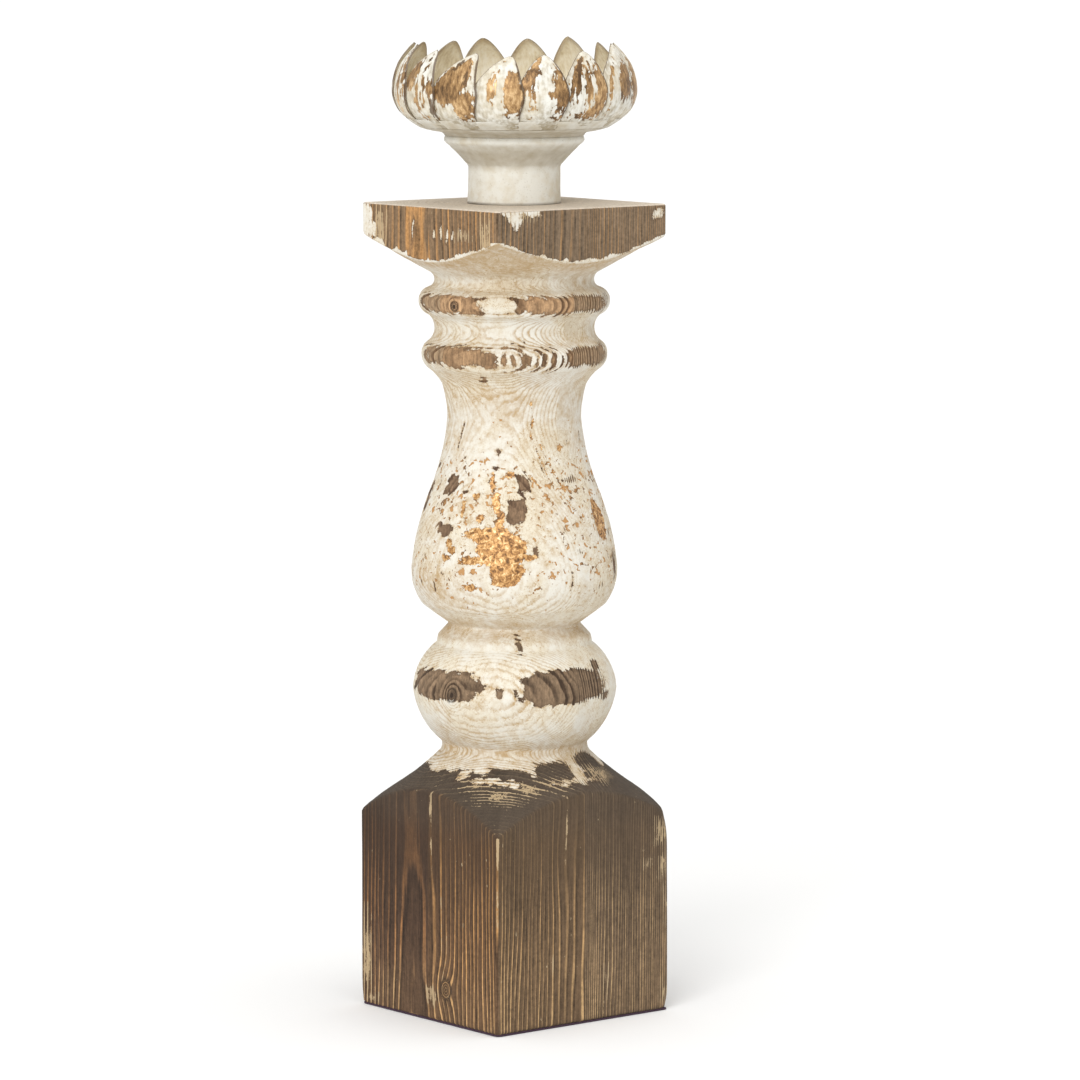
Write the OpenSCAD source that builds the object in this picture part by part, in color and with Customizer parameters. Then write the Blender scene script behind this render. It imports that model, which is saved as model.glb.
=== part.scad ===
// Square-and-turned wooden candlestick with a sheet-metal lotus cup.
// Millimetres. The origin is the middle of the footprint on the table, +Z up,
// and the faces of the square base block look along X and Y.

/* [Post] */
// Side of the square base block
block_w = 138; // [130:1:150]
// Side of the square at the top of the post
top_w = 135; // [128:1:145]
// Height of the post's flat top above the table
post_top = 504.4; // [498:0.2:512]
// Rounding of the upright edges of both squares
edge_r = 2.5; // [1:0.5:6]
// Largest radius of the ball above the base block
ball_r = 63.4; // [58:0.1:66]
// Largest radius of the vase
vase_r = 63.9; // [58:0.1:66]
// Largest radius of the lower bead
lower_bead_r = 57.3; // [54:0.1:62]
// Largest radius of the upper bead
upper_bead_r = 59.2; // [55:0.1:63]

/* [Base felt] */
// Thickness of the felt under the base block
felt_t = 1.5; // [1:0.1:3]
// How far the felt stops short of the block's faces
felt_inset = 0.5; // [0:0.1:4]

/* [Neck] */
// Radius of the straight part of the neck
neck_r = 28.5; // [25:0.1:32]
// Height of the neck, from the post's flat top to the dish
neck_h = 42; // [38:0.1:46]
// Radius of the dowel that joins the neck to the post
dowel_r = 10; // [6:0.5:12]
// How deep the dowel goes into the post
dowel_in_post = 34; // [20:1:50]
// How deep the dowel goes into the neck
dowel_in_neck = 18; // [12:1:18]

/* [Cup] */
// Number of petals around the cup
petal_count = 16; // [16:1:16]
// Largest radius of the ring of petals
cup_r = 74.8; // [72:0.1:78]
// Height of the petal tips above the table
tip_z = 604; // [600:0.5:608]
// Thickness of the sheet metal, measured across
sheet_t = 1.0; // [0.6:0.1:1.1]
// How far each petal is shifted sideways, so that it laps over the next one
lap_shift = 3.2; // [3:0.1:4]
// Half of a petal's width where it is widest
petal_half_w = 19; // [17:0.5:20]
// How far each petal's tip leans towards the edge that is lapped over its neighbour
tip_lean = 2; // [0:0.5:3]

/* [Fixing] */
// Radius of the well in the dish's floor that takes the screw's head
well_r = 11; // [10:0.5:14]
// Depth of the well
well_depth = 4.4; // [4.2:0.1:6]
// Radius of the cup screw's shank
screw_r = 2.1; // [1.5:0.1:2.5]
// Length of the cup screw under its head
screw_len = 18; // [12:1:18]
// Radius of the cup screw's head
screw_head_r = 4.4; // [3.5:0.1:5]
// Height of the cup screw's head
screw_head_h = 2.6; // [2:0.1:2.8]
// Outside radius of the washer
washer_r = 9; // [7:0.5:9.5]
// Thickness of the washer
washer_t = 1.2; // [0.8:0.1:1.4]

/* [Hidden] */
SIDES = ["front", "left", "back", "right"];
PETALS = [for (i = [1 : petal_count]) str("petal_", i < 10 ? "0" : "", i)];
$fn = 96;

block_base = felt_t;
post_mid = (block_base + post_top) / 2;
clear_of_squares = 100;
arc_steps = 8;

dish_z = post_top + neck_h;
dish_t = 1.2;
floor_top = dish_z + dish_t;
well_floor = floor_top - well_depth;
well_outer_r = well_r + dish_t;
// The petals' feet stand on a ledge, behind which the dish's rim goes on up
ledge_z = dish_z + 10.6;
rim_h = 4;
rim_flare = 2.6;
foot_r = 66.6;
// Height above the feet at which a petal is widest
petal_belly = 20;
// How much narrower each half of a petal is at its foot than where it is widest
foot_taper = 2.2;
// Half of the small flat at a petal's tip
tip_half_w = 0.6;
petal_step = 360 / petal_count;
// World angle of the first petal's middle: its lapped edge is then the one nearest the front corner
petal_start = -136.8;

// ---- Curves ----

// The points after p on the arc from p to q, whose middle stands bow to the right of the chord
function bowed(p, q, bow, steps = arc_steps) =
    let (
        chord = q - p,
        half = norm(chord) / 2,
        radius = (half * half + bow * bow) / (2 * abs(bow)),
        side = [chord[1], -chord[0]] / norm(chord) * sign(bow),
        centre = (p + q) / 2 + side * (abs(bow) - radius),
        swing = asin(min(1, half / radius))
    )
    [for (i = [1 : steps])
        let (a = swing * (2 * i / steps - 1))
        centre + radius * (cos(a) * side + sin(a) * chord / norm(chord))];

// An outline through stations of [radius, height, bow of the stretch that leads up to it]
function outline(stations) =
    concat(
        [[stations[0][0], stations[0][1]]],
        [for (i = [1 : len(stations) - 1])
            let (
                p = [stations[i - 1][0], stations[i - 1][1]],
                q = [stations[i][0], stations[i][1]],
                bow = stations[i][2]
            )
            each (bow == 0 ? [q] : bowed(p, q, bow))]
    );

// The same outline moved across by a distance, which makes the other face of a sheet
function moved_across(points, distance) = [for (p = points) p + [distance, 0]];

function reversed(points) = [for (i = [len(points) - 1 : -1 : 0]) points[i]];

// ---- Profiles: [radius, height, bow] ----

// The turned part of the post, from the base block's shoulder to under the top square
post_profile = [
    [clear_of_squares, 121.0, 0],
    // Ogee shoulder, cut down into the corners of the block
    [71.7, 142.3, 0.7],
    [47.2, 162.4, -0.7],
    [45.2, 167.2, -0.5],
    [46.0, 170.3, -0.4],
    // Ball
    [ball_r, 203.4, 3.6],
    [48.3, 231.3, 3.5],
    // Fillet and quirk between the ball and the vase
    [47.3, 236.4, 0.2],
    [41.5, 242.8, 0],
    [41.5, 244.4, -0.3],
    // Vase
    [57.5, 256.4, 0.2],
    [vase_r, 280.0, 2.2],
    [53.2, 324.5, 1.5],
    [41.4, 372.0, -1.9],
    [44.6, 393.0, -0.7],
    [52.5, 402.4, -0.6],
    // Lower bead, cove, upper bead
    [lower_bead_r, 411.0, 1.3],
    [53.2, 419.4, 1.4],
    [53.2, 436.0, -3.9],
    [upper_bead_r, 444.4, 1.6],
    [53.4, 452.5, 1.8],
    // Cove, then the cone cut up into the corners of the top square
    [51.9, 462.1, -3.2],
    [78.0, 477.0, 0.2],
    [92.5, 484.0, 0.1],
    [clear_of_squares, 489.0, 0]
];

// The neck, from its foot to the seat of the dish
neck_profile = [
    [neck_r + 0.4, post_top, 0],
    [neck_r, post_top + 8, 0],
    [neck_r, dish_z - 20.6, 0],
    [neck_r + 1.6, dish_z - 17.0, -0.6],
    [neck_r + 12.3, dish_z - 6.0, -0.3],
    [neck_r + 14.7, dish_z, 1.0]
];

// The bowl that the dish and the petals share, from the seat to the petal tips
bowl_low = [
    [44.5, dish_z, 0],
    [51.5, dish_z + 1.2, -0.2],
    [61.0, dish_z + 6.2, 0.3],
    [foot_r, ledge_z, 0.2]
];
bowl_high = [
    [foot_r, ledge_z, 0],
    [cup_r, ledge_z + 17.0, 2.3],
    [cup_r - 4.2, ledge_z + 34.8, 0.9],
    [cup_r - 14.3, tip_z + 1, 1.2]
];

// A petal that is shifted sideways comes nearer to the axis at its trailing edge, so the rim stands back
trailing_angle = asin((petal_half_w - foot_taper + lap_shift) / foot_r);
rim_gap = sheet_t + lap_shift * sin(trailing_angle) + 0.1;

// ---- Shared solids ----

module rounded_square(side, r) {
    square([side - 2 * r, side], center = true);
    square([side, side - 2 * r], center = true);
    for (x = [-1, 1], y = [-1, 1])
        translate([x, y] * (side / 2 - r)) circle(r);
}

// The post as it leaves the lathe: the glued-up blank, cut back by the turned profile
module turned_post() {
    intersection() {
        union() {
            translate([0, 0, block_base])
                linear_extrude(post_mid - block_base) rounded_square(block_w, edge_r);
            translate([0, 0, post_mid])
                linear_extrude(post_top - post_mid) rounded_square(top_w, edge_r);
        }
        rotate_extrude()
            polygon(concat(
                [[0, block_base], [clear_of_squares, block_base]],
                outline(post_profile),
                [[clear_of_squares, post_top], [0, post_top]]
            ));
    }
}

module dowel_hole() {
    translate([0, 0, post_top - dowel_in_post])
        cylinder(r = dowel_r, h = dowel_in_post + dowel_in_neck);
}

// ---- Sub-parts ----

module base_felt() {
    color("#3a2a35")
        linear_extrude(felt_t) rounded_square(block_w - 2 * felt_inset, edge_r);
}

// One of the four boards that the blank is glued up from: turn 0 holds the front corner
module post_quarter(turn) {
    color(turn % 2 == 0 ? "#8a6a4c" : "#7d6048")
        difference() {
            intersection() {
                turned_post();
                rotate([0, 0, 180 - 90 * turn])
                    cube([block_w, block_w, post_top]);
            }
            dowel_hole();
        }
}

module neck_dowel() {
    color("#c9a877")
        dowel_hole();
}

module neck() {
    color("#e9e3d3")
        difference() {
            rotate_extrude()
                polygon(concat(
                    [[0, post_top]],
                    outline(neck_profile),
                    [[well_outer_r, dish_z], [well_outer_r, dish_z - well_depth], [0, dish_z - well_depth]]
                ));
            dowel_hole();
            cup_screw_shank();
        }
}

// Spun bowl: a flat floor on the neck with a well for the screw, and a rim stepped in for the petals' feet
module dish() {
    rim_r = foot_r - rim_gap;
    rim_face = outline([[rim_r, ledge_z, 0], [rim_r + rim_flare, ledge_z + rim_h, 0.1]]);
    rim_back = moved_across(rim_face, -sheet_t);
    inside = outline([[43.5, floor_top, 0], [50.8, floor_top + 1.2, -0.2], [59.2, floor_top + 5.7, 0.3]]);
    color("#ddd3bd")
        difference() {
            rotate_extrude()
                polygon(concat(
                    [[0, dish_z - well_depth], [well_outer_r, dish_z - well_depth], [well_outer_r, dish_z]],
                    outline(bowl_low),
                    rim_face,
                    reversed(rim_back),
                    reversed(inside),
                    [[well_r, floor_top], [well_r, well_floor], [0, well_floor]]
                ));
            cup_screw_shank();
        }
}

// Round-topped pointed leaf, seen square on: half width against height
module petal_outline() {
    foot_half_w = petal_half_w - foot_taper;
    wide_z = ledge_z + petal_belly;
    lapped_bow = 4.2;
    trailing_bow = 4.6;
    polygon(concat(
        [[-foot_half_w, ledge_z], [foot_half_w, ledge_z]],
        [[petal_half_w, wide_z]],
        bowed([petal_half_w, wide_z], [tip_lean + tip_half_w, tip_z], lapped_bow),
        bowed([tip_lean - tip_half_w, tip_z], [-petal_half_w, wide_z], trailing_bow)
    ));
}

// One sheet-metal petal: a slice of the bowl, shifted sideways so that its leading edge laps over the next
module petal(number) {
    outside = outline(bowl_high);
    color(number % 2 == 0 ? "#efe9db" : "#e3d8bf")
        rotate([0, 0, petal_start + petal_step * (number - 1)])
            intersection() {
                translate([0, lap_shift, 0])
                    rotate_extrude()
                        polygon(concat(outside, reversed(moved_across(outside, -sheet_t))));
                rotate([90, 0, 90])
                    linear_extrude(cup_r + 10) petal_outline();
            }
}

module cup_screw_shank() {
    translate([0, 0, well_floor + washer_t - screw_len])
        cylinder(r = screw_r, h = screw_len);
}

module cup_washer() {
    color("#9a958a")
        difference() {
            translate([0, 0, well_floor]) cylinder(r = washer_r, h = washer_t);
            cup_screw_shank();
        }
}

// Slotted round-head wood screw
module cup_screw() {
    slot_w = 1.2;
    slot_depth = 1.1;
    head_z = well_floor + washer_t;
    rim_in = 0.3;
    rim_up = 0.9;
    color("#8c877c") {
        cup_screw_shank();
        difference() {
            translate([0, 0, head_z])
                rotate_extrude()
                    polygon(outline([
                        [0, 0, 0],
                        [screw_head_r, 0, 0],
                        [screw_head_r - rim_in, rim_up, 0],
                        [0, screw_head_h, 0.5]
                    ]));
            translate([0, 0, head_z + screw_head_h])
                cube([4 * screw_head_r, slot_w, 2 * slot_depth], center = true);
        }
    }
}

base_felt();
for (turn = [0 : 3])
    post_quarter(turn);
neck_dowel();
neck();
dish();
cup_washer();
cup_screw();
for (number = [1 : petal_count])
    petal(number);
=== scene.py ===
import math

import bpy
import numpy as np
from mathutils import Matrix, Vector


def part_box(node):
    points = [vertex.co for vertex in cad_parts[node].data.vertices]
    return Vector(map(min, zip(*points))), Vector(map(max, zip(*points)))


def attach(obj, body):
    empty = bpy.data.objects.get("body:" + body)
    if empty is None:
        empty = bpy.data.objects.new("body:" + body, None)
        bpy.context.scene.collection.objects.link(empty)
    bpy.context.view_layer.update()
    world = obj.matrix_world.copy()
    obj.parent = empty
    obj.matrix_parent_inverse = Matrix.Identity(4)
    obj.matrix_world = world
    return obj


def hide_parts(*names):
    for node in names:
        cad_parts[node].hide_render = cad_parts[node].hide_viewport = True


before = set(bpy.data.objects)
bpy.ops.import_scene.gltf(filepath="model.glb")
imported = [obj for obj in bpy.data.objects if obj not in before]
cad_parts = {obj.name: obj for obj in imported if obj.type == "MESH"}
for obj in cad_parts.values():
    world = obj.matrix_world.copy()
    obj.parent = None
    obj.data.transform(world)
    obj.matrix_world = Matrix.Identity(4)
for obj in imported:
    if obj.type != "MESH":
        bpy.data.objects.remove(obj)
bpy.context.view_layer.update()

# The looks of the candlestick: worn chalk paint, gold leaf and brushed wood on the turned post, and a
# lotus cup of sheet-metal petals. Sizes are in millimetres and angles in degrees. A mesh is scaled to
# metres as it is made. An angle "round the post" is 0 at the front corner, where -X meets -Y, and grows
# anticlockwise seen from above, so the -Y face runs from 0 to 90 and the -X face from -90 to 0.
MM = 0.001
FRONT_CORNER = -135.0
OPEN = 300.0


# ---- Numbers ----

def tint(red, green, blue):
    """A colour as it looks on a screen, 0 to 255, as the linear colour that a shader takes."""
    c = np.array([red, green, blue]) / 255.0
    return np.where(c <= 0.04045, c / 12.92, ((c + 0.055) / 1.055) ** 2.4)


def rgba(red, green, blue):
    """The same, as the four numbers of a shader's colour."""
    return (*map(float, tint(red, green, blue)), 1.0)


def smooth(low, high, value):
    """0 below low, 1 above high, and a smooth climb between them; high may be the lower of the two."""
    t = np.clip((value - low) / (high - low), 0.0, 1.0)
    return t * t * (3.0 - 2.0 * t)


def hill(centre, width, value):
    return np.exp(-(((value - centre) / width) ** 2))


def wrapped(angle):
    return (angle + 180.0) % 360.0 - 180.0


def lattice(x, y, z, seed):
    """A repeatable number in -1..1 for each point of a whole-number lattice."""
    h = (x * 374761393 + y * 668265263 + z * 1440670441 + seed * 974634777) & 0xFFFFFFFF
    h = ((h ^ (h >> 13)) * 1274126177) & 0xFFFFFFFF
    h = h ^ (h >> 16)
    return (h & 0xFFFF) / 32767.5 - 1.0


def noise(points, size, seed, stretch=(1.0, 1.0, 1.0)):
    """Smooth noise in -1..1 whose blobs are about size across, and longer along a stretched axis."""
    grid = points / (size * np.array(stretch)) + 100.0
    cell = np.floor(grid).astype(np.int64)
    f = grid - cell
    f = f * f * (3.0 - 2.0 * f)
    total = np.zeros(len(points))
    for dx in (0, 1):
        for dy in (0, 1):
            for dz in (0, 1):
                weight = np.ones(len(points))
                for axis, step in enumerate((dx, dy, dz)):
                    weight *= f[:, axis] if step else 1.0 - f[:, axis]
                total += weight * lattice(cell[:, 0] + dx, cell[:, 1] + dy, cell[:, 2] + dz, seed)
    return total


def cloud(points, size, seed, stretch=(1.0, 1.0, 1.0)):
    """Noise with a finer layer over it."""
    return 0.68 * noise(points, size, seed, stretch) + 0.32 * noise(points, 0.43 * size, seed + 50, stretch)


# ---- Meshes ----

def strip(lower, upper):
    """Faces between two rows of point numbers. A row may be one point, or have half as many columns."""
    if len(lower) == len(upper):
        return np.stack([lower[:-1], lower[1:], upper[1:], upper[:-1]], 1)
    if len(upper) == 1:
        return np.stack([lower[:-1], lower[1:], np.repeat(upper, len(lower) - 1)], 1)
    if len(lower) == 1:
        return np.stack([np.repeat(lower, len(upper) - 1), upper[1:], upper[:-1]], 1)
    if len(lower) > len(upper):
        return np.stack([lower[:-1:2], lower[1::2], lower[2::2], upper[1:], upper[:-1]], 1)
    return np.stack([lower[:-1], lower[1:], upper[2::2], upper[1::2], upper[:-1:2]], 1)


def placed(name, data):
    """A new object in the scene."""
    thing = bpy.data.objects.new(name, data)
    bpy.context.scene.collection.objects.link(thing)
    return thing


def make_piece(name, points, faces, material, values=None, colours=None, flat=0, crease=None):
    """A mesh object from points in millimetres and a list of face arrays; the last flat arrays of faces
    are shaded flat, and an edge between two points of the same crease number is kept sharp."""
    mesh = bpy.data.meshes.new(name)
    loops = np.concatenate([f.ravel() for f in faces]).astype(np.int32)
    totals = np.concatenate([np.full(len(f), f.shape[1]) for f in faces])
    starts = (np.cumsum(totals) - totals).astype(np.int32)
    mesh.vertices.add(len(points))
    mesh.vertices.foreach_set("co", (points * MM).astype(np.float32).ravel())
    mesh.loops.add(len(loops))
    mesh.loops.foreach_set("vertex_index", loops)
    mesh.polygons.add(len(totals))
    mesh.polygons.foreach_set("loop_start", starts)
    is_smooth = np.ones(len(totals), bool)
    if flat:
        is_smooth[-sum(len(f) for f in faces[-flat:]):] = False
    mesh.update(calc_edges=True)
    mesh.polygons.foreach_set("use_smooth", is_smooth)
    if crease is not None:
        ends = np.zeros(2 * len(mesh.edges), np.int32)
        mesh.edges.foreach_get("vertices", ends)
        a, b = crease[ends[0::2]], crease[ends[1::2]]
        sharp = mesh.attributes.new("sharp_edge", "BOOLEAN", "EDGE")
        sharp.data.foreach_set("value", (a == b) & (a > 0))
    for key, value in (values or {}).items():
        layer = mesh.attributes.new(key, "FLOAT", "POINT")
        layer.data.foreach_set("value", value.astype(np.float32))
    for key, value in (colours or {}).items():
        layer = mesh.attributes.new(key, "FLOAT_COLOR", "POINT")
        opaque = np.column_stack([value, np.ones(len(value))])
        layer.data.foreach_set("color", opaque.astype(np.float32).ravel())
    mesh.materials.append(material)
    mesh.validate()
    piece = placed(name, mesh)
    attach(piece, "root")
    return piece


def node_points(name):
    """The corner points of a CAD node, in millimetres."""
    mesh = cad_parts[name].data
    co = np.zeros(3 * len(mesh.vertices), np.float32)
    mesh.vertices.foreach_get("co", co)
    return co.reshape(-1, 3).astype(float) / MM


def measured_outline(points, low, high, least):
    """Heights and outer radii of a turned surface between two heights, read off the CAD node's points."""
    radius = np.hypot(points[:, 0], points[:, 1])
    keep = (points[:, 2] > low) & (points[:, 2] < high) & (radius > least)
    z = np.round(points[keep, 2], 1)
    heights = np.unique(z)
    return heights, np.array([radius[keep][z == h].max() for h in heights])


def evenly(radii, heights, spacing):
    """The outline with a point every spacing along it."""
    travel = np.concatenate([[0.0], np.cumsum(np.hypot(np.diff(radii), np.diff(heights)))])
    along = np.linspace(0.0, travel[-1], int(travel[-1] / spacing) + 1)
    return np.interp(along, travel, radii), np.interp(along, travel, heights)


def softened(values, reach):
    """Values averaged with their neighbours, the ends held."""
    weights = np.exp(-np.linspace(-2.0, 2.0, 2 * reach + 1) ** 2)
    padded = np.pad(values, reach, mode="edge")
    return np.convolve(padded, weights / weights.sum(), "valid")


# ---- Materials ----

class Graph:
    """A material's nodes, with one short call for each kind."""

    def __init__(self, name):
        self.material = bpy.data.materials.new(name)
        self.material.use_nodes = True
        self.nodes = self.material.node_tree.nodes
        self.links = self.material.node_tree.links
        self.nodes.clear()
        self.shader = self.nodes.new("ShaderNodeBsdfPrincipled")
        output = self.nodes.new("ShaderNodeOutputMaterial")
        self.links.new(self.shader.outputs["BSDF"], output.inputs["Surface"])
        self.position = self.nodes.new("ShaderNodeTexCoord").outputs["Object"]

    def feed(self, socket, value):
        if isinstance(value, bpy.types.NodeSocket):
            self.links.new(value, socket)
        else:
            socket.default_value = value

    def attribute(self, name, output="Fac"):
        node = self.nodes.new("ShaderNodeAttribute")
        node.attribute_name = name
        return node.outputs[output]

    def math(self, operation, a, b=0.0, c=0.0):
        node = self.nodes.new("ShaderNodeMath")
        node.operation = operation
        for socket, value in zip(node.inputs, (a, b, c)):
            self.feed(socket, value)
        return node.outputs[0]

    def add(self, a, b):
        return self.math("ADD", a, b)

    def times(self, a, b):
        return self.math("MULTIPLY", a, b)

    def minus(self, a, b):
        return self.math("SUBTRACT", a, b)

    def times_add(self, a, b, c):
        return self.math("MULTIPLY_ADD", a, b, c)

    def random(self, number):
        """A number in 0..1 that is the same wherever the whole number is."""
        node = self.nodes.new("ShaderNodeTexWhiteNoise")
        node.noise_dimensions = "1D"
        self.feed(node.inputs["W"], number)
        return node.outputs["Value"]

    def noise(self, size, detail=2.0, stretch=(1.0, 1.0, 1.0), distortion=0.0, rough=0.5):
        """Noise in 0..1 with features of about size millimetres; rough strengthens its finer layers."""
        scale = self.nodes.new("ShaderNodeVectorMath")
        scale.operation = "MULTIPLY"
        self.feed(scale.inputs[0], self.position)
        scale.inputs[1].default_value = [1.0 / (MM * size * s) for s in stretch]
        node = self.nodes.new("ShaderNodeTexNoise")
        self.links.new(scale.outputs[0], node.inputs["Vector"])
        node.inputs["Scale"].default_value = 1.0
        node.inputs["Detail"].default_value = detail
        node.inputs["Distortion"].default_value = distortion
        node.inputs["Roughness"].default_value = rough
        return node.outputs[0]

    def climb(self, value, low, high):
        """0 below low, 1 above high, and a smooth climb between them."""
        node = self.nodes.new("ShaderNodeMapRange")
        node.interpolation_type = "SMOOTHSTEP"
        self.feed(node.inputs["Value"], value)
        falling = high < low
        node.inputs["From Min"].default_value = high if falling else low
        node.inputs["From Max"].default_value = low if falling else high
        node.inputs["To Min"].default_value = 1.0 if falling else 0.0
        node.inputs["To Max"].default_value = 0.0 if falling else 1.0
        return node.outputs["Result"]

    def mix(self, factor, a, b, blend="MIX"):
        node = self.nodes.new("ShaderNodeMix")
        node.data_type = "RGBA"
        node.blend_type = blend
        self.feed(node.inputs[0], factor)
        self.feed(node.inputs[6], a)
        self.feed(node.inputs[7], b)
        return node.outputs[2]

    def ramp(self, factor, *stops):
        node = self.nodes.new("ShaderNodeValToRGB")
        self.feed(node.inputs[0], factor)
        elements = node.color_ramp.elements
        while len(elements) < len(stops):
            elements.new(1.0)
        for element, (place, colour) in zip(elements, stops):
            element.position = place
            element.color = colour
        return node.outputs["Color"]

    def bump(self, height):
        """Relief from a height in millimetres."""
        node = self.nodes.new("ShaderNodeBump")
        node.inputs["Strength"].default_value = 1.0
        node.inputs["Distance"].default_value = MM
        self.feed(node.inputs["Height"], height)
        self.links.new(node.outputs[0], self.shader.inputs["Normal"])

    def finish(self, colour, roughness, height=None, metallic=0.0, specular=0.5):
        self.feed(self.shader.inputs["Base Color"], colour)
        self.feed(self.shader.inputs["Roughness"], roughness)
        self.feed(self.shader.inputs["Metallic"], metallic)
        self.shader.inputs["Specular IOR Level"].default_value = specular
        if height is not None:
            self.bump(height)
        return self.material


PAINT_LIGHT = rgba(230, 228, 219)
# The post's paint is this duller copy of the light paint: painted shade for the fine shadows of its
# crinkled surface
PAINT_SHADED = rgba(224, 220, 209)
PAINT_CREAM = rgba(220, 211, 191)
PAINT_TAN = rgba(180, 152, 112)
PAINT_GREIGE = rgba(160, 147, 122)


def paint_colour(g, dirt_and_shade, broad, medium, fine, cloudiness=0.9, dirt_and_shade_tint=PAINT_TAN, light=PAINT_LIGHT):
    """Chalk paint: cloudy white and cream, turned tan where the mesh puts dirt and painted shade, and tan
    in small pits.
    """
    clean = g.mix(g.climb(g.add(broad, g.times(medium, 0.6)), 0.62, 0.98), light, PAINT_CREAM)
    # Tan where the mesh puts dirt and painted shade, clouded by noise
    stain = g.times_add(g.minus(medium, 0.5), cloudiness, dirt_and_shade)
    stained_and_shaded = g.mix(g.climb(stain, 0.02, 1.0), clean, dirt_and_shade_tint)
    return g.mix(g.times(g.climb(fine, 0.60, 0.74), 0.40), stained_and_shaded, dirt_and_shade_tint)


def timber_material():
    """Paint, gold leaf and wood in one surface. The mesh carries how far each point lies inside bare,
    gold and washed areas, in millimetres, and noise makes their edges ragged."""
    g = Graph("turned_timber")
    fine = g.noise(1.1, detail=3.0)
    grit = g.noise(2.6, detail=5.0, rough=0.75)
    medium = g.noise(6.0, detail=5.0, rough=0.62)
    broad = g.noise(34.0, detail=2.0)
    specks = g.noise(3.5, detail=2.5, distortion=0.4)
    fibre = g.noise(1.2, detail=4.0, stretch=(1.0, 1.0, 14.0), rough=0.7)
    streak = g.noise(2.2, detail=2.0, stretch=(1.0, 1.0, 30.0))

    rings = g.times_add(g.minus(streak, 0.5), 0.35, g.attribute("rings"))
    place = g.math("FRACT", rings)
    year = g.random(g.math("FLOOR", rings))
    narrow = g.attribute("narrow")
    wide_line = g.climb(place, 0.30, 0.76)
    thin_line = g.climb(place, 0.64, 0.82)
    rise = g.add(g.times(wide_line, g.minus(1.0, narrow)), g.times(thin_line, narrow))
    line = g.times(rise, g.climb(place, 1.0, 0.90))
    flank = g.times(g.climb(place, 0.34, 0.58), g.climb(place, 0.74, 0.62))
    fine_place = g.math("FRACT", g.times(rings, 1.7))
    groove = g.times(g.climb(fine_place, 0.0, 0.10), g.climb(fine_place, 0.55, 0.20))
    patchy = g.noise(16.0, detail=2.0, stretch=(1.0, 1.0, 3.0))
    broken = g.noise(5.0, detail=3.0, stretch=(1.0, 1.0, 3.0), rough=0.7)
    strength = g.times(g.times_add(year, 0.90, 0.30), g.times_add(patchy, 2.4, -0.20))
    strength = g.times(strength, g.times_add(broken, 2.6, -0.30))
    contrast = g.attribute("contrast")
    grain = g.math("MINIMUM", g.times(g.times(line, strength), contrast), 1.0)

    ragged = g.add(g.times(g.minus(fine, 0.5), 2.4), g.times(g.minus(medium, 0.5), 3.0))
    bare = g.add(g.add(g.attribute("bare"), ragged), g.times_add(line, 1.3, -0.5))
    density = g.attribute("specks")
    speck = g.times(g.add(g.minus(specks, 0.86), g.times(density, 0.32)), 14.0)
    gold = g.add(g.attribute("gold"), g.times(ragged, 1.3))
    washed = g.add(g.attribute("wash"), g.times_add(g.minus(fibre, 0.5), 9.0, g.times(ragged, 1.1)))
    washed = g.times_add(line, 3.0, g.minus(washed, 2.2))
    bare_mask = g.climb(bare, -0.10, 0.12)
    gold_mask = g.climb(gold, -0.08, 0.10)
    speck_mask = g.climb(speck, -0.05, 0.15)
    wash_mask = g.climb(washed, -0.25, 0.35)

    wood = g.mix(grain, g.attribute("wood", "Color"), g.attribute("latewood", "Color"))
    uneven = g.times_add(g.minus(fibre, 0.5), 2.0, g.times(g.minus(grit, 0.5), 1.7))
    uneven = g.times_add(g.minus(streak, 0.5), 0.6, uneven)
    shade = g.times_add(uneven, g.times_add(contrast, 0.5, 0.3), 1.0)
    shade = g.times_add(g.times(g.times(flank, narrow), contrast), -0.34, shade)
    wood = g.mix(1.0, wood, g.math("MAXIMUM", shade, 0.15), "MULTIPLY")
    wood = g.mix(g.times(g.climb(bare, 1.3, 0.0), 0.5), wood, rgba(70, 50, 35))
    wood = g.mix(g.times(wash_mask, 0.85), wood, rgba(184, 161, 126))
    fleck = g.noise(2.4, detail=3.0, stretch=(1.0, 1.0, 2.6))
    pale = g.climb(g.add(fleck, g.times(patchy, 0.25)), 0.865, 0.90)
    wood = g.mix(g.times(g.times(pale, narrow), 0.65), wood, rgba(190, 170, 136))

    crazed = g.math("ABSOLUTE", g.minus(g.noise(5.5, detail=4.0, distortion=1.6), 0.5))
    crazed = g.times(g.climb(crazed, 0.020, 0.0), g.climb(broad, 0.40, 0.56))
    # Tan from the mesh's dirt and painted shade, with more on the paint round bare wood, in the crazing and
    # the grit, and in the ring grooves
    dirt_and_shade = g.add(g.attribute("dirt_and_shade"), g.times(g.climb(bare, -1.1, -0.1), 0.30))
    dirt_and_shade = g.times_add(g.minus(grit, 0.5), 1.0, g.times_add(crazed, 0.60, dirt_and_shade))
    dirt_and_shade = g.times_add(g.times(groove, g.attribute("relief")), g.times_add(patchy, 1.1, -0.05), dirt_and_shade)
    # The duller paint, painted shade for the crinkled surface
    paint = paint_colour(g, dirt_and_shade, broad, medium, fine, light=PAINT_SHADED)
    leaf = g.ramp(
        g.noise(2.6, detail=5.0, distortion=0.6, rough=0.7),
        (0.35, rgba(90, 66, 42)),
        (0.44, rgba(146, 105, 64)),
        (0.51, rgba(190, 142, 88)),
        (0.57, rgba(214, 170, 114)),
        (0.66, rgba(244, 220, 174)),
    )
    crumb = g.climb(g.noise(7.0, detail=1.0), 0.4, 0.6)
    crumb = g.mix(crumb, rgba(126, 94, 62), rgba(184, 140, 92))
    colour = g.mix(speck_mask, paint, crumb)
    colour = g.mix(bare_mask, colour, wood)
    colour = g.mix(gold_mask, colour, leaf)
    # The mesh's dark marks: knots, and the painted shade at the foot of the block
    colour = g.mix(g.attribute("dark"), colour, rgba(52, 40, 31))

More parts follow.
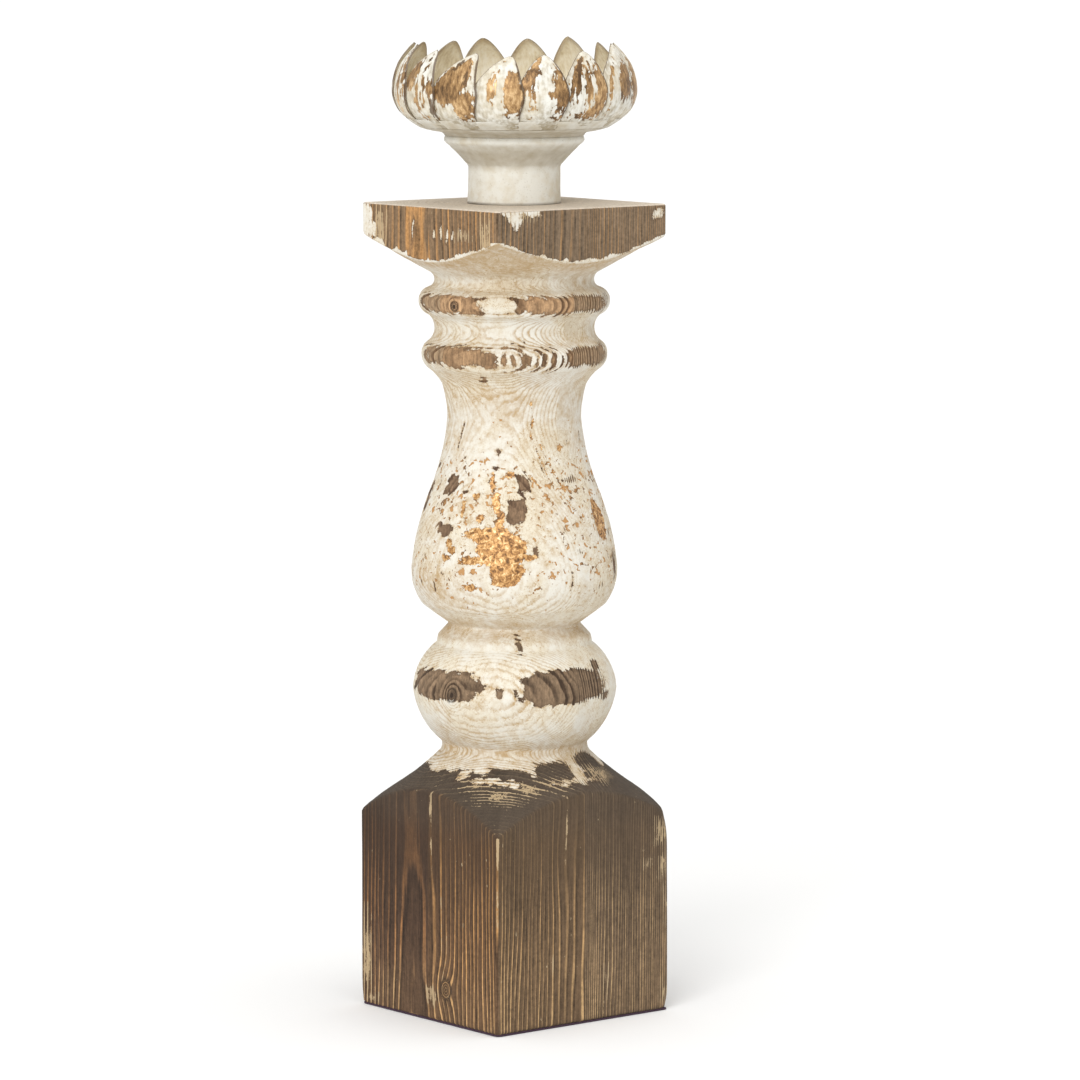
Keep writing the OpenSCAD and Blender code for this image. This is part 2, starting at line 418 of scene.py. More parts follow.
    roughness = g.times_add(gold_mask, -0.34, 0.80)
    metallic = g.times(gold_mask, 0.35)
    relief = g.times(g.times_add(groove, -1.0, 1.0), g.times(g.attribute("relief"), 0.20))
    skin = g.add(g.times(fine, 0.10), g.times_add(grit, 0.16, g.times(medium, 0.24)))
    step = g.times(g.math("MAXIMUM", g.math("MAXIMUM", bare_mask, speck_mask), gold_mask), -0.22)
    height = g.add(g.add(relief, skin), g.times_add(fibre, 0.10, step))
    return g.finish(colour, roughness, height, metallic, specular=0.3)


def painted_material(name):
    """Chalk paint with dirt and painted shade where the mesh says so, for the neck and the dish."""
    g = Graph(name)
    fine = g.noise(1.0, detail=3.0)
    medium = g.noise(6.0, detail=2.0)
    broad = g.minus(g.noise(60.0, detail=1.0), 0.07)
    brushed = g.noise(1.4, detail=2.0, stretch=(14.0, 14.0, 1.0))
    paint = paint_colour(g, g.attribute("dirt_and_shade"), broad, medium, fine, 0.35, PAINT_GREIGE)
    chip = g.climb(g.add(g.attribute("chip"), g.times(g.minus(fine, 0.5), 2.0)), -0.08, 0.1)
    colour = g.mix(chip, paint, rgba(140, 112, 80))
    # The mesh's dark marks: the painted shadow line at the foot of the neck, and a little darker inside the
    # dish
    colour = g.mix(g.attribute("dark"), colour, rgba(70, 54, 40))
    height = g.add(g.times(brushed, 0.07), g.times_add(fine, 0.06, g.times(medium, 0.12)))
    return g.finish(colour, g.times_add(medium, 0.2, 0.58), height, specular=0.35)


def petal_material():
    """Paint rubbed through to bronze along the leaf, dark edges, worn bare and with a painted shadow line
    along the lapped edge, and a khaki inside.
    """
    g = Graph("painted_petal")
    fine = g.noise(0.9, detail=3.0)
    medium = g.noise(4.0, detail=2.0)
    broad = g.noise(20.0, detail=2.0)
    drip = g.noise(1.9, detail=3.0, stretch=(1.0, 1.0, 6.0))
    ragged = g.add(g.times(g.minus(fine, 0.5), 2.2), g.times(g.minus(drip, 0.5), 12.0))
    ragged = g.times_add(g.minus(medium, 0.5), 5.0, ragged)
    rubbed = g.climb(g.add(g.attribute("rub"), ragged), -0.45, -0.15)
    inside = g.attribute("inside")
    rim = g.attribute("rim")

    # Tan from the mesh's dirt and painted shadow, streaked
    dirt_and_shade = g.times_add(g.minus(drip, 0.5), 1.1, g.add(g.attribute("dirt_and_shade"), 0.26))
    paint = paint_colour(g, dirt_and_shade, broad, medium, fine, 0.9, PAINT_GREIGE)
    rubbing = g.noise(2.4, detail=5.0, stretch=(1.0, 1.0, 2.5), rough=0.7)
    bronze = g.ramp(
        g.times_add(rubbing, 0.6, g.times(broad, 0.4)),
        (0.39, rgba(92, 69, 45)),
        (0.47, rgba(144, 111, 73)),
        (0.54, rgba(180, 143, 97)),
        (0.63, rgba(224, 190, 142)),
    )
    khaki = g.ramp(
        g.times_add(broad, 0.55, g.times(drip, 0.45)),
        (0.34, rgba(204, 187, 152)),
        (0.50, rgba(231, 220, 194)),
        (0.64, rgba(244, 238, 221)),
    )
    outer = g.mix(rubbed, paint, bronze)
    umber = g.climb(g.add(g.attribute("umber"), g.times(ragged, 0.8)), -0.3, 0.4)
    outer = g.mix(g.times(umber, 0.8), outer, rgba(86, 64, 44))
    mottle = g.climb(g.times_add(g.minus(drip, 0.5), 4.0, g.minus(2.2, rim)), -0.6, 1.2)
    inner = g.mix(g.times(mottle, 0.4), khaki, rgba(150, 122, 84))
    colour = g.mix(inside, outer, inner)
    # Dark edges: worn bare metal, and along the lapped edge a painted shadow line where it stands over the
    # next petal
    edge = g.climb(g.times_add(g.minus(fine, 0.5), 0.9, rim), 0.60, 0.10)
    colour = g.mix(g.times(edge, g.times_add(inside, -0.45, 0.85)), colour, rgba(92, 70, 48))

    shown = g.times(rubbed, g.minus(1.0, inside))
    height = g.times_add(shown, -0.16, g.times_add(fine, 0.07, g.times(drip, 0.12)))
    return g.finish(colour, g.times_add(shown, -0.28, 0.72), height, g.times(shown, 0.35), specular=0.35)


def felt_material():
    g = Graph("felt")
    tuft = g.noise(0.35, detail=4.0)
    clump = g.noise(3.0, detail=2.0)
    pile = g.times_add(tuft, 0.7, g.times(clump, 0.3))
    colour = g.mix(pile, rgba(34, 24, 32), rgba(104, 84, 98))
    return g.finish(colour, 0.95, g.times(tuft, 0.3), specular=0.1)


def steel_material():
    g = Graph("steel")
    haze = g.noise(2.5, detail=3.0)
    brushed = g.noise(0.25, detail=2.0, stretch=(6.0, 1.0, 1.0))
    colour = g.mix(haze, rgba(120, 116, 108), rgba(176, 172, 162))
    return g.finish(colour, g.times_add(haze, 0.3, 0.28), g.times(brushed, 0.02), metallic=1.0)


def beech_material():
    g = Graph("dowel_wood")
    fleck = g.noise(0.6, detail=2.0, stretch=(1.0, 1.0, 6.0))
    band = g.noise(3.0, detail=2.0, stretch=(1.0, 1.0, 40.0))
    figure = g.times_add(fleck, 0.5, g.times(band, 0.5))
    colour = g.mix(figure, rgba(176, 136, 92), rgba(222, 190, 148))
    return g.finish(colour, 0.7, g.times(fleck, 0.05), specular=0.3)


# ---- The post ----

POST_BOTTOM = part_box("base_felt")[1].z / MM
POST_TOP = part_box("quarter_front")[1].z / MM
BLOCK_HALF = -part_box("quarter_front")[0].x / MM
TOP_HALF = 67.5
SQUARES_MEET = 250.0
SHOULDER_LOW = 123.0
SHOULDER_HIGH = 160.0
CONE_LOW = 455.0
CONE_HIGH = 487.5
DOWEL_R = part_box("neck_dowel")[1].x / MM
DOWEL_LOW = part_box("neck_dowel")[0].z / MM
COLUMNS = 200
TURNED_SPACING = 0.92
SQUARE_SPACING = 1.6
FINE_BELOW = 152.0
FINE_ABOVE = 468.0
LIP = 1.3

# Each board: the world angle where it starts, where the tree's heart lies, and the ring spacing
BOARDS = {
    "front": dict(start=180.0, heart=(70.0, 50.0), ring=2.4),
    "left": dict(start=90.0, heart=(-10.0, 12.0), ring=2.5),
    "back": dict(start=0.0, heart=(-30.0, 150.0), ring=2.8),
    "right": dict(start=270.0, heart=(160.0, -40.0), ring=2.0),
}

# The block's earlywood and latewood on each board's face across X, then on its face across Y
BLOCK_WOOD = {
    "front": (((92, 68, 47), (190, 142, 88)), ((99, 79, 58), (170, 136, 94))),
    "left": (((76, 56, 41), (150, 106, 66)), ((76, 56, 41), (150, 106, 66))),
    "back": (((88, 68, 52), (146, 114, 80)), ((88, 68, 52), (146, 114, 80))),
    "right": (((98, 79, 60), (164, 134, 94)), ((98, 80, 62), (168, 140, 102))),
}

# Areas as (from, to) round the post in degrees and (from, to) in height
BARE_BANDS = [
    # Upper bead
    (-70, -13, 439.5, 450.0), (4, 78, 439.5, 450.0), (98, 150, 440.0, 450.5), (-178, -128, 439.0, 449.0),
    # Lower bead
    (-68, -5, 406.5, 418.5), (40, 84, 407.0, 418.0), (118, 172, 406.5, 418.0), (-140, -96, 407.0, 418.5),
    (-2, 1, 408, 417), (4, 7, 407, 416), (9, 12, 408, 418), (14, 17, 407, 415), (19, 22, 408, 417),
    (24, 27, 408, 416), (30, 34, 407, 417),
    # Ball
    (-72, -13, 201.0, 218.0), (9, 66, 200.0, 219.5), (104, 158, 199.0, 216.0), (-166, -112, 201.0, 219.0),
]
BARE_CHIPS = [
    (-49, -37, 327, 338), (8, 17, 329, 341), (1, 13, 312, 327), (-47, -36, 303, 310),
    (-80, -72, 314, 334), (64, 76, 300, 322), (79, 84, 274, 290), (100, 116, 318, 334),
    (132, 146, 286, 302), (-150, -138, 330, 344), (-124, -112, 292, 310), (166, 176, 350, 362),
    (-12, 16, 151, 159), (19, 46, 151, 162), (56, 84, 152, 165), (66, 72, 199, 205), (62, 70, 216, 223),
    (-4, 1, 205, 210), (8, 11, 233, 240), (-20, -14, 395, 399),
]
GOLD_AREAS = [
    (43, 50, 353.5, 357), (-26, 8, 299, 309), (-15, 13, 284, 307), (-7, 11, 273, 290),
    (-27, -9, 285, 291), (9, 18, 288, 293), (-12, -8, 329, 342), (-10, -4, 318, 331), (-6, 0, 307, 320),
    (-24, -14, 270, 275), (-37, -32, 297, 301), (-39, -32, 288, 292), (-31, -27, 314, 323),
    (-24, -18, 326, 331), (64, 78, 298, 324), (1, 8, 338, 342), (-18, -12, 312, 317),
    (-34, -29, 292, 298), (96, 120, 300, 318), (-160, -140, 296, 322), (150, 158, 300, 330),
]
# Leftover paint on the squares
PAINT_LEFT = [
    (-92, -86, 482, 505), (-86, -79, 476, 484), (1, 15, 502, 507), (4, 9, 497, 504), (6, 7.4, 493, 499),
    (12, 18, 500, 505), (85, 88, 496, 502), (-59, -57.8, 485, 494), (176, 184, 492, 505),
    (46.5, 54, 148.5, 164), (130, 138, 146, 160), (-40, -38.6, 486, 491), (-34, -32.8, 487, 492),
    (-30, -29, 486, 490), (-26, -25, 487, 491), (-21, -20, 488, 492), (-18, 5, 149.5, 152.5),
    (2, 9, 148, 151.5), (-32, -24, 151, 156), (-89, -83, 484, 493), (36, 60, 148.8, 150.6),
]
# Beige paint rubbed into the grain, on the squares
WASHED = [
    (-47, -36, 10, 23), (-0.5, 0.6, 108, 119), (-0.3, 0.3, 80, 86), (85, 90, 106, 123), (86, 91, 84, 100),
    (88, 91, 56, 80), (79, 83, 92, 98), (-0.6, 1.4, 117, 124), (31, 33, 118, 141), (87, 91, 4, 20),
    (-9, -2, 478, 501), (-85, -76, 478, 503), (3, 16, 498, 505), (-12, 9, 140.5, 147), (6, 22, 144, 151),
    (20, 38, 147, 152), (-24, -8, 146, 151), (62, 82, 148, 155), (-33.5, -31.5, 44, 68),
    (-43, -41, 128, 140), (-43, -41.5, 108, 114), (-44, -42, 82, 92), (-90, -84, 8, 60),
    (58, 72, 150, 158), (24, 27, 36, 44), (57, 60, 20, 34), (-88, -80, 2, 9), (-24, -14, 484, 492),
    (100, 112, 60, 120), (-150, -142, 20, 60), (150, 158, 478, 502), (-96, -90, 4, 40),
    (172, 178, 10, 80), (130, 150, 138, 148), (-140, -110, 140, 150),
]
# Knots: angle, height, radius, how far they bend the rings
KNOTS = [
    (-30.5, 22.0, 5.0, 1.4), (-32.0, 204.5, 3.4, 3.0), (-33.0, 443.5, 2.2, 1.6), (119.0, 84.0, 6.5, 1.8),
    (-128.0, 66.0, 4.5, 1.5), (150.0, 209.0, 3.2, 2.4),
]
# Dents in the wood: angle, height, radius, depth
DENTS = [(-14, 367, 5, 0.9), (64, 345, 7, 0.6), (-60, 300, 6, 0.5), (140, 365, 6, 0.9), (6.6, 225, 4, 0.5)]
# How much tan lies at each height of the turning: dirt, with painted shade in the grooves and on the cone
# under the top square, and a painted highlight on the rim at 233 mm, where there is almost none
DIRT_AND_SHADE_BY_HEIGHT = [
    (120, 0.40), (158, 0.30), (168, 0.46), (176, 0.28), (190, 0.13), (222, 0.10), (229, 0.06),
    (233, 0.02), (236, 0.36), (241, 0.46), (247, 0.42), (252, 0.22), (262, 0.24), (300, 0.18),
    (340, 0.20), (372, 0.32), (396, 0.26), (404, 0.20), (411, 0.05), (420, 0.36), (430, 0.20),
    (438, 0.24), (444, 0.04), (454, 0.24), (461, 0.28), (468, 0.54), (489, 0.74),
]
# Where more of it lies: how much, the angle and half its width, the height and half its height
DARKER_PLACES = [(0.20, -42.0, 26.0, 270.0, 12.0), (0.16, -4.0, 24.0, 386.0, 10.0)]
# How deep the ridges of the growth rings stand out at each height
RELIEF_BY_HEIGHT = [
    (120, 0.45), (160, 0.62), (228, 0.66), (235, 0.15), (247, 0.15), (258, 0.55), (285, 0.30),
    (355, 0.34), (385, 0.55), (404, 0.60), (455, 0.60), (463, 0.25), (490, 0.22),
]
# How thickly gold and brown specks lie at each height
SPECKS_BY_HEIGHT = [
    (160, 0.0), (172, 0.35), (200, 0.30), (226, 0.25), (245, 0.15), (256, 0.40), (275, 0.84), (340, 1.0),
    (365, 0.55), (385, 0.25), (400, 0.10), (425, 0.15), (455, 0.10), (470, 0.20), (490, 0.0),
]


def by_height(table, z):
    return np.interp(z, [row[0] for row in table], [row[1] for row in table])


def rounded_square_reach(angle, half, corner_r):
    """Distance from the axis to a rounded square, in each direction."""
    c, s = np.abs(np.cos(np.radians(angle))), np.abs(np.sin(np.radians(angle)))
    flat = half / np.maximum(c, s)
    centre = half - corner_r
    total = centre * (c + s)
    round_part = total + np.sqrt(np.maximum(total ** 2 - 2.0 * centre ** 2 + corner_r ** 2, 0.0))
    return np.where(flat * np.minimum(c, s) > centre, round_part, flat)


def worn_corner_radius(psi, z):
    """Radius of the upright arrises: small, softer here and there, and knocked round at one corner."""
    points = np.column_stack([np.round(psi / 90.0) * 50.0, np.zeros(len(z)), z])
    radius = 2.6 + 0.5 * noise(points, 24.0, 3)
    right = hill(90.0, 30.0, psi)
    radius += right * (1.5 + 8.0 * hill(131.0, 13.0, z) + 4.0 * hill(0.0, 7.0, z))
    radius += hill(-90.0, 30.0, psi) * 2.0 * hill(0.0, 8.0, z)
    return np.clip(radius, 1.4, 14.0)


def inside_area(psi, z, radius, area, power=3.0):
    """How far inside an area each point lies, in millimetres, negative outside."""
    start, end, low, high = area
    half_w = math.radians(end - start) / 2.0 * radius
    half_h = (high - low) / 2.0
    across = np.abs(np.radians(wrapped(psi - (start + end) / 2.0)) * radius / half_w)
    up = np.abs(z - (low + high) / 2.0) / half_h
    reach = (across ** power + up ** power) ** (1.0 / power)
    return (1.0 - np.minimum(reach, 12.0)) * np.minimum(half_w, half_h)


def inside_any(psi, z, radius, areas, power=3.0):
    return np.max([inside_area(psi, z, radius, area, power) for area in areas], axis=0)


def post_rows():
    """Rows from the middle of the underside, up the outside and down the dowel hole. Each is
    (turned radius, height, inset from the outside, share of the way out, radius it shrinks to)."""
    heights, radii = measured_outline(node_points("quarter_front"), SHOULDER_LOW, CONE_HIGH, 30.0)
    radii, heights = evenly(radii, heights, TURNED_SPACING)
    radii = softened(radii, 1)
    lip_angles = np.radians([22.5, 45.0, 67.5, 90.0])
    rows = [(OPEN, POST_BOTTOM, LIP, share, 0.0) for share in (0.0, 0.4, 0.75, 0.95, 1.0)]
    for a in lip_angles:
        rows.append((OPEN, POST_BOTTOM + LIP * (1 - math.cos(a)), LIP * (1 - math.sin(a)), 1.0, 0.0))
    low = POST_BOTTOM + LIP
    rows += [(OPEN, z, 0.0, 1.0, 0.0) for z in np.arange(low + SQUARE_SPACING, heights[0], SQUARE_SPACING)]
    rows += [(r, z, 0.0, 1.0, 0.0) for r, z in zip(radii, heights)]
    high = POST_TOP - LIP
    rows += [(OPEN, z, 0.0, 1.0, 0.0) for z in np.arange(heights[-1] + 1.0, high, SQUARE_SPACING)]
    for a in reversed(lip_angles):
        rows.append((OPEN, high + LIP * math.cos(a), LIP * (1 - math.sin(a)), 1.0, 0.0))
    for share in (1.0, 0.93, 0.82, 0.68, 0.52, 0.34, 0.16, 0.0):
        rows.append((OPEN, POST_TOP, LIP, share, DOWEL_R))
    rows += [(OPEN, DOWEL_LOW, LIP, 0.0, DOWEL_R), (OPEN, DOWEL_LOW, LIP, 0.0, 0.0)]
    return np.array(rows)


class Skin:
    """The points of one quarter board, and what is known of each before it is worn."""

    def __init__(self, rows, start):
        fine = start + 90.0 * np.arange(COLUMNS + 1) / COLUMNS
        self.numbers, angle, row_of = [], [], []
        count = 0
        for i, row in enumerate(rows):
            on_axis = row[3] == 0.0 and row[4] == 0.0
            turned = row[0] < OPEN and FINE_BELOW < row[1] < FINE_ABOVE
            angles = fine[:1] if on_axis else (fine[::2] if turned else fine)
            self.numbers.append(count + np.arange(len(angles)))
            angle.append(angles)
            row_of.append(np.full(len(angles), i))
            count += len(angles)
        self.angle = np.concatenate(angle)
        row_of = np.concatenate(row_of)
        self.turned, self.z, inset, share, shrink = rows[row_of].T
        # The turned outline's slope; the heights are nudged apart, because some rows share one
        outline = np.where(rows[:, 0] < OPEN, rows[:, 0], np.nan)
        slope = np.gradient(outline, rows[:, 1] + 1e-6 * np.arange(len(rows)))
        slope = np.nan_to_num(slope)[row_of]
        self.psi = wrapped(self.angle - FRONT_CORNER)
        half = np.where(self.z < SQUARES_MEET, BLOCK_HALF, TOP_HALF)
        self.square = rounded_square_reach(self.angle, half, worn_corner_radius(self.psi, self.z))
        arris = 0.9
        gap = np.clip((self.turned - self.square) / arris, -60.0, 60.0)
        self.on_square = 1.0 / (1.0 + np.exp(-gap))
        outer = np.minimum(self.turned, self.square) - arris * np.log1p(np.exp(-np.abs(gap)))
        self.radius = shrink + (outer - inset - shrink) * share
        self.outside = (share == 1.0) & (inset < LIP)
        self.on_top = (self.z > POST_TOP - 0.5 * LIP) & (share + shrink > 0.0)
        self.out = np.where(self.on_square > 0.5, 1.0, 1.0 / np.hypot(1.0, slope))
        self.up = np.where(self.on_square > 0.5, 0.0, -slope / np.hypot(1.0, slope))

    def points(self, lift=0.0):
        """Where the points are, raised from the unworn surface along its normal."""
        r = self.radius + lift * self.out
        a = np.radians(self.angle)
        return np.column_stack([r * np.cos(a), r * np.sin(a), self.z + lift * self.up])

    def across(self, angle):
        """How far round the surface each point lies from an angle round the post, in millimetres."""
        return np.radians(wrapped(self.psi - angle)) * self.radius


def ring_phase(skin, points, board):
    """Which growth ring each point lies in, as a number that grows by 1 from ring to ring."""
    heart = np.array(board["heart"])
    reach = np.hypot(points[:, 0] - heart[0], points[:, 1] - heart[1])
    along_grain = (1.0, 1.0, 5.0)
    phase = reach / board["ring"] + 0.55 * cloud(points, 26.0, 5, along_grain) + 0.005 * points[:, 2]
    phase += 0.22 * noise(points, 7.0, 6, along_grain)
    # Rings come in runs of wide and narrow years
    phase += 0.8 * np.sin(reach / 9.0) + 0.4 * np.sin(reach / 4.3 + 1.0)
    for angle, height, size, bend in KNOTS:
        away = np.hypot(skin.across(angle), (skin.z - height) * 0.8)
        phase += bend * np.exp(-((away / (2.1 * size)) ** 2))
        phase = np.where(away < size, away / 1.3, phase)
    return phase


def knot_shade(skin):
    """Dark rims and grey hearts of the knots."""
    shade = np.zeros(len(skin.z))
    for angle, height, size, _ in KNOTS:
        away = np.hypot(skin.across(angle), (skin.z - height) * 0.8)
        shade = np.maximum(shade, 0.75 * hill(size, 0.22 * size, away))
        heart = 0.45 if size > 4.0 else 0.95
        shade = np.maximum(shade, heart * smooth(0.8 * size, 0.3 * size, away))
    return shade


def over(base, colour, share):
    """A share of one colour laid over the base."""
    return base * (1 - share)[:, None] + colour * share[:, None]


def wood_colours(skin, points, side):
    """Earlywood and latewood colours: a dark stain on the block, orange on the top square, and paler
    wood where the turning is worn."""
    face_x = np.abs(points[:, 0]) > np.abs(points[:, 1])
    block = smooth(164.0, 150.0, skin.z)
    top = smooth(455.0, 470.0, skin.z)
    shoulder = smooth(112.0, 134.0, skin.z) * smooth(175.0, 160.0, skin.z) * (1.0 - 0.6 * skin.on_square)
    ball = smooth(250.0, 235.0, skin.z) * (1.0 - block)
    bead = 1.0 - ball - block
    bead_early = tint(186, 150, 112) if side == "front" else tint(162, 136, 106)
    lower_bead = 1.0 - 0.26 * smooth(430.0, 422.0, skin.z) * (side == "front")
    early = np.outer(bead * lower_bead, bead_early) + np.outer(ball, tint(129, 107, 84))
    late = np.outer(bead, tint(102, 77, 54)) + np.outer(ball, tint(68, 52, 38))
    chips = smooth(262.0, 272.0, skin.z) * smooth(396.0, 386.0, skin.z)
    early, late = over(early, tint(124, 100, 77), chips), over(late, tint(86, 65, 48), chips)

    on_x, on_y = BLOCK_WOOD[side]
    block_early = np.where(face_x[:, None], tint(*on_x[0]), tint(*on_y[0]))
    block_late = np.where(face_x[:, None], tint(*on_x[1]), tint(*on_y[1]))
    early, late = over(early, block_early, block), over(late, block_late, block)
    early, late = over(early, tint(88, 75, 62), shoulder), over(late, tint(128, 110, 88), shoulder)
    top_early = np.where(face_x[:, None], tint(130, 105, 78), tint(120, 101, 80))
    top_late = np.where(face_x[:, None], tint(184, 136, 84), tint(148, 116, 80))
    # One wide orange ring, pinched at half height, on the left board of the top square
    pinch = np.abs(points[:, 1] - 9.0 + 1.2 * noise(points, 9.0, 74)) - 3.2 - 0.26 * np.abs(skin.z - 491.0)
    orange = smooth(2.0, -1.6, pinch) * smooth(0.0, -20.0, points[:, 0])
    top_early = over(top_early, tint(178, 135, 88), orange)
    early, late = over(early, top_early, top), over(late, top_late, top)

    # A darker stain near the top of the block
    stain = 1.08 - np.where(face_x, 0.40, 0.29) * smooth(24.0, 112.0, skin.z)
    stain = np.where(skin.z < 164.0, stain, 1.0)[:, None]
    early, late = early * stain, late * stain

    # Paler towards the foot, and cloudy all over
    foot = (smooth(60.0, 4.0, skin.z) * np.clip(0.75 + 0.6 * cloud(points, 20.0, 23), 0.0, 1.2))[:, None]
    early = early * (1 - 0.22 * foot) + tint(140, 112, 82) * 0.22 * foot
    late = late * (1 - 0.6 * foot) + tint(200, 168, 122) * 0.6 * foot
    cloudy = 1.0 + 0.16 * cloud(points, 30.0, 21, (1.0, 1.0, 2.5))
    cloudy += 0.10 * noise(points, 5.0, 22, (1.0, 1.0, 8.0))
    end_grain = skin.on_top[:, None]
    early = np.where(end_grain, tint(211, 199, 182), early * cloudy[:, None])
    late = np.where(end_grain, tint(178, 158, 132), late * cloudy[:, None])
    return early, late


def quarter_board(side, rows, material):
    board = BOARDS[side]
    skin = Skin(rows, board["start"])
    points = skin.points()
    z, radius = skin.z, np.maximum(skin.radius, 1.0)

    # Everything drawn on the surface is pushed about a little, so no area has a clean outline
    push = 2.2 * cloud(points, 11.0, 61) + 0.9 * noise(points, 3.4, 62)
    lift = 2.0 * cloud(points, 12.0, 63) + 0.9 * noise(points, 3.1, 64)
    psi = skin.psi + np.degrees(push / radius)
    height = z + lift

    teeth = 1.6 * noise(points, 2.6, 65, (1.0, 1.0, 2.0))
    bands = inside_any(psi, height, radius, BARE_BANDS, 5.0)
    chips = inside_any(psi, height, radius, BARE_CHIPS)
    off_vase = smooth(270.0, 258.0, z) + smooth(372.0, 392.0, z)
    stray = 5.0 * (noise(points, 7.0, 66) - 0.92) - 9.0 * off_vase
    turned_bare = np.maximum(np.maximum(bands + 0.5 * teeth, chips), stray)
    foot_edge = 156.2 + 2.0 * noise(points, 14.0, 67) + 0.8 * teeth
    shoulder_bare = foot_edge - height
    drips = 9.0 * np.maximum(noise(points, 2.0, 73, (1.0, 1.0, 6.0)) - 0.1, 0.0)
    drips = np.maximum(drips * (0.5 + noise(points, 22.0, 75)), 0.0)
    cone_bare = skin.turned - skin.square - 2.2 + 2.6 * noise(points, 4.5, 68) - drips
    cone_bare = np.where(z > CONE_LOW, cone_bare, -OPEN)
    bare = np.maximum(np.maximum(turned_bare, shoulder_bare), np.minimum(cone_bare, 9.0))
    bare = np.minimum(bare, -inside_any(psi, height, radius, PAINT_LEFT) + 0.3)
    bare = np.where(skin.on_top, 6.0, bare)

    gold = inside_any(psi, height, radius, GOLD_AREAS, 2.2)
    gold = np.maximum(gold, np.maximum(sloping_scratches(skin), surface_crack(skin)))
    wash = np.clip(inside_any(psi, height, radius, WASHED), -3.0, 2.5)
    wash = np.where(skin.on_top | (z > SHOULDER_HIGH) & (z < 462.0), -6.0, wash)

    rings = ring_phase(skin, points, board)
    dark = knot_shade(skin) * (bare > -1.0)
    # A dark band round the foot of the block, on its rounded lower edge above the felt: painted shade
    dark = np.maximum(dark, 0.55 * inside_area(skin.psi, z, radius, (-90, 180, 0.5, 3.2)).clip(0, 1))
    # Dirt and painted shade by height, and more in a few places
    dirt_and_shade = by_height(DIRT_AND_SHADE_BY_HEIGHT, z) + 0.16 * cloud(points, 18.0, 69)
    for much, angle, wide, level, tall in DARKER_PLACES:
        dirt_and_shade += much * hill(angle, wide, skin.psi) * hill(level, tall, z)
    density = by_height(SPECKS_BY_HEIGHT, z) * (0.87 + 0.22 * cloud(points, 30.0, 70))
    density *= 1.0 - smooth(-2.0, 0.0, bare)
    relief = by_height(RELIEF_BY_HEIGHT, z) * (1.0 + 0.4 * noise(points, 22.0, 71))
    relief = np.where(skin.on_top, 0.18, relief)
    low, flat = z < SHOULDER_HIGH, skin.on_square > 0.5
    dirt_and_shade = np.where(flat & (z > CONE_LOW), 0.12, dirt_and_shade)
    narrow = (low | flat) * ~skin.on_top * 1.0
    # The grain is plain on bare wood, faint high on the block and fainter on its stained shoulder
    contrast = np.where(low | flat, 1.15 - 0.85 * smooth(60.0, 118.0, z) * low, 1.25)
    contrast = np.where(low & ~flat, 0.14 + 0.3 * smooth(138.0, 150.0, z), contrast)
    contrast = np.where(skin.on_top, 0.35, contrast)
    early, late = wood_colours(skin, points, side)

    # Relief that shows on the outline: a hand-turned wobble, paint lumps, worn and dented places
    swell = 0.28 * noise(points, 42.0, 40) + 0.12 * noise(points, 9.0, 41) + 0.06 * noise(points, 3.0, 42)
    worn = 0.35 * smooth(-0.3, 0.9, np.maximum(bare, gold)) + 0.55 * smooth(0.0, 5.0, bands)
    dents = sum(
        depth * np.exp(-(np.hypot(skin.across(a), z - h) / size) ** 2)
        for a, h, size, depth in DENTS
    )
    turned_lift = swell - np.where(low, 0.0, worn) - dents
    square_lift = 0.10 * noise(points, 30.0, 43, (1.0, 1.0, 3.0)) - 0.12
    points = skin.points(np.where(flat, square_lift, turned_lift) * skin.outside)

    faces = [strip(a, b) for a, b in zip(skin.numbers[:-1], skin.numbers[1:])]
    first = np.array([row[0] for row in skin.numbers])
    last = np.array([row[-1] for row in skin.numbers])
    faces += [first[None, :], last[::-1][None, :]]
    crease = np.zeros(len(points), int)
    crease[last] = 2
    crease[first] = 1
    values = dict(
        rings=rings, bare=bare, gold=gold, wash=wash, dark=dark, dirt_and_shade=dirt_and_shade,
        specks=density, relief=relief, contrast=contrast, narrow=narrow,
    )
    name = "board_" + side
    piece = make_piece(
        name, points, faces, material, values, dict(wood=early, latewood=late), 2, crease
    )
    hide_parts("quarter_" + side)


def sloping_scratches(skin):
    """A few long scratches that run down to the right across the front of the vase."""
    inside = np.full(len(skin.z), -OPEN)
    for angle, height, drop in ((21, 362, 32), (27, 359, 26), (33, 346, 22), (38, 332, 20), (18, 340, 18)):
        along = np.clip((height - skin.z) / drop, 0.0, 1.0)
        centre = angle + 15.0 * along
        away = np.abs(skin.across(centre))
        past = np.maximum(skin.z - height, height - drop - skin.z).clip(0.0)
        inside = np.maximum(inside, 0.35 - away - past)
    return inside


def surface_crack(skin):
    """A short drying crack down the front of the vase's neck, broken here and there."""
    centre = 21.0 + 1.2 * np.sin(skin.z / 3.1)
    away = np.abs(skin.across(centre))
    past = np.maximum(362.0 - skin.z, skin.z - 384.0).clip(0.0)
    return 0.35 - away - past + 0.5 * np.sin(skin.z / 1.9)


# ---- The neck, the cup and the felt ----

NECK_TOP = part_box("neck")[1].z / MM
PETAL_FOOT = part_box("petal_01")[0].z / MM
CUP_R = 74.8
FOOT_R = 66.6
WELL_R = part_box("cup_washer")[1].x / MM + 2.0
WELL_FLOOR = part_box("cup_washer")[0].z / MM
SCREW_R = 2.1
SHEET = 1.0
LAP_SHIFT = 3.2
PETAL_HALF_W = 19.0
# Height above the dish's ledge at which a petal is widest, and how far its foot runs down over the dish
PETAL_BELLY = 20.0
FOOT_OVERLAP = 5.6
PETAL_STEP = 22.5
FIRST_PETAL = -136.8

